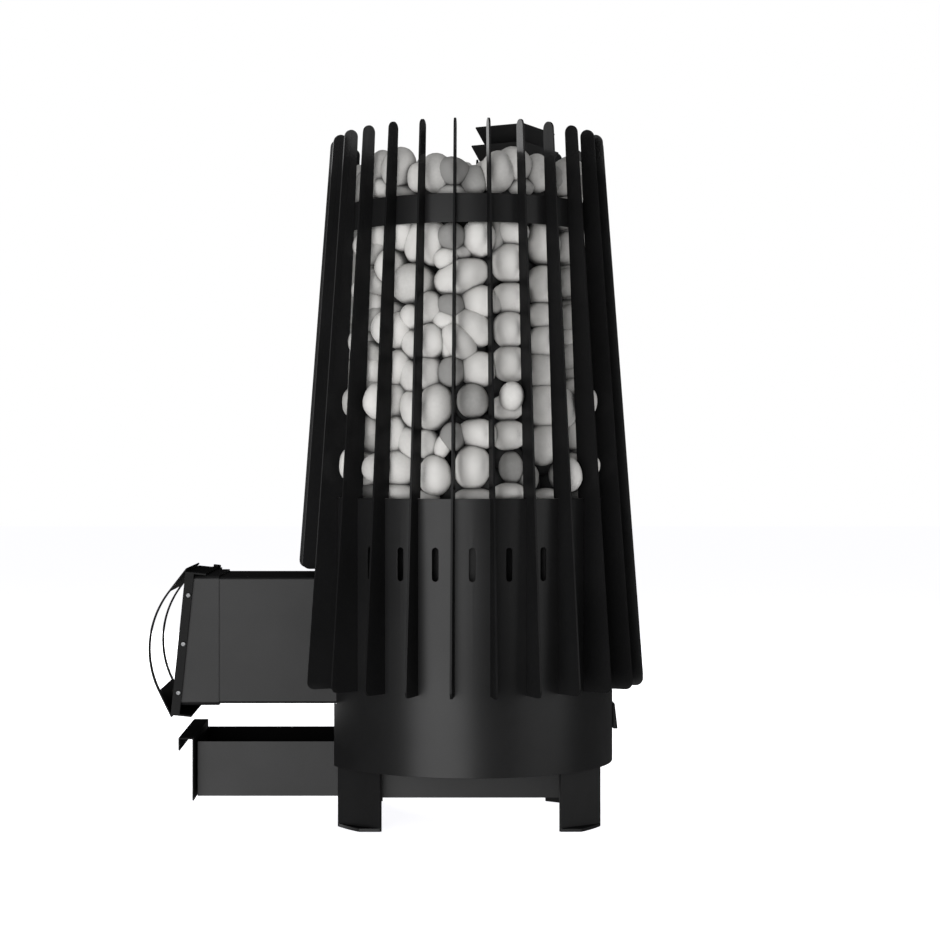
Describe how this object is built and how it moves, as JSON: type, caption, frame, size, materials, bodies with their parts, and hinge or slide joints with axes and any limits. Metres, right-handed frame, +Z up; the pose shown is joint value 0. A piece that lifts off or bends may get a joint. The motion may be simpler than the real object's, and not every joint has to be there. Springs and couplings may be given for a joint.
{
  "type": "sauna heater stove",
  "caption": "Wood-burning sauna stove: round slotted casing, a cage of upright fins full of stones, fuel tunnel with a leaning door, ash drawer and water hopper.",
  "frame": {"origin": "on the floor, under the middle of the stove's overall box", "axes": "+Z up; -X towards the loading door; the picture looks along +Y"},
  "size_m": [0.6334, 0.4546, 0.89],
  "materials": {
    "black_paint": "matte heat-proof paint",
    "grey_paint": "satin heat-proof paint",
    "cast_grate": "raw cast",
    "zinc": "bright zinc plate",
    "heat_glass": "clear heat-proof glass",
    "seal_rope": "braided fibre rope",
    "pale_stone": "rough broken stone"
  },
  "bodies": {
    "stove": {"casing": "black_paint", "fin_01": "black_paint", "fin_02": "black_paint", "fin_03": "black_paint", "fin_04": "black_paint", "fin_05": "black_paint", "fin_06": "black_paint", "fin_07": "black_paint", "fin_08": "black_paint", "fin_09": "black_paint", "fin_10": "black_paint", "fin_11": "black_paint", "fin_12": "black_paint", "fin_13": "black_paint", "fin_14": "black_paint", "fin_15": "black_paint", "fin_16": "black_paint", "fin_17": "black_paint", "fin_18": "black_paint", "fin_19": "black_paint", "fin_20": "black_paint", "fin_21": "black_paint", "fin_22": "black_paint", "fin_23": "black_paint", "fin_24": "black_paint", "fin_25": "black_paint", "fin_26": "black_paint", "top_band": "black_paint", "firebox_shell": "black_paint", "firebox_floor": "black_paint", "firebox_crown": "black_paint", "grate": "cast_grate", "flue_spigot": "black_paint", "water_hopper": "black_paint", "hopper_tray": "grey_paint", "water_tube": "black_paint", "stone_bed_near": "pale_stone", "stone_bed_far": "pale_stone", "fuel_tunnel": "grey_paint", "door_collar": "grey_paint", "hinge_pin": "zinc", "ash_channel": "grey_paint", "leg_front_near": "black_paint", "leg_front_far": "black_paint", "leg_rear_near": "black_paint", "leg_rear_far": "black_paint", "rear_bracket": "black_paint"},
    "door": {"door_leaf": "black_paint", "door_glass": "heat_glass", "glass_retainer": "black_paint", "door_seal": "seal_rope", "door_guard": "black_paint", "door_screw_1": "zinc", "door_screw_2": "zinc", "door_screw_3": "zinc", "door_screw_4": "zinc", "door_screw_5": "zinc", "door_screw_6": "zinc"},
    "drawer": {"ash_drawer": "grey_paint", "drawer_front": "black_paint"}
  },
  "joints": [
    {"name": "door_hinge", "type": "hinge", "parent": "stove", "child": "door", "pos_m": [-0.25439, 0.095, 0.22899], "axis": [-0.1016, 0, -0.9948], "range_deg": [0, 115]},
    {"name": "drawer_slide", "type": "slide", "parent": "stove", "child": "drawer", "axis": [-1, 0, 0], "range_m": [0, 0.28]}
  ]
}
